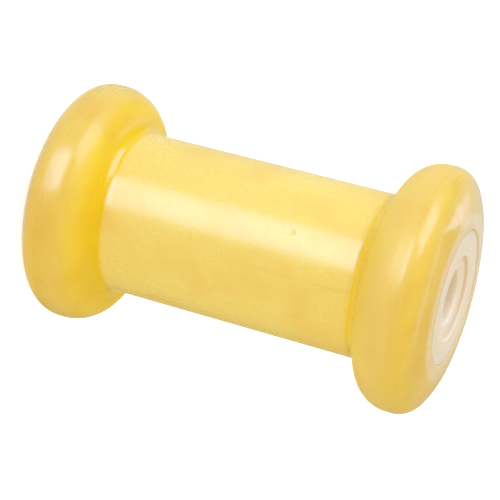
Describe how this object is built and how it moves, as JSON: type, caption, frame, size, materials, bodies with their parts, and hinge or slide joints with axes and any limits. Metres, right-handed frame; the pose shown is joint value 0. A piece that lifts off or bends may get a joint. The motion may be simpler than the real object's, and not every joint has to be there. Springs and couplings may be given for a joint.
{
  "type": "boat trailer roller",
  "caption": "Spool-shaped keel roller for a boat trailer: soft yellow vinyl moulded over a white plastic core with a through bore for its shaft.",
  "frame": {"origin": "middle of the lower end, on the roller's axis, in the plane that the roller stands on", "axes": "+Z along the roller's axis from the lower end to the upper end; the section is the same all round, so +X and +Y are free"},
  "size_m": [0.0756, 0.0756, 0.13],
  "materials": {
    "vinyl": "glossy, slightly see-through soft vinyl",
    "core_plastic": "satin white moulded plastic"
  },
  "bodies": {
    "root": {"roller_body": "vinyl", "core_sleeve": "core_plastic"}
  },
  "joints": []
}
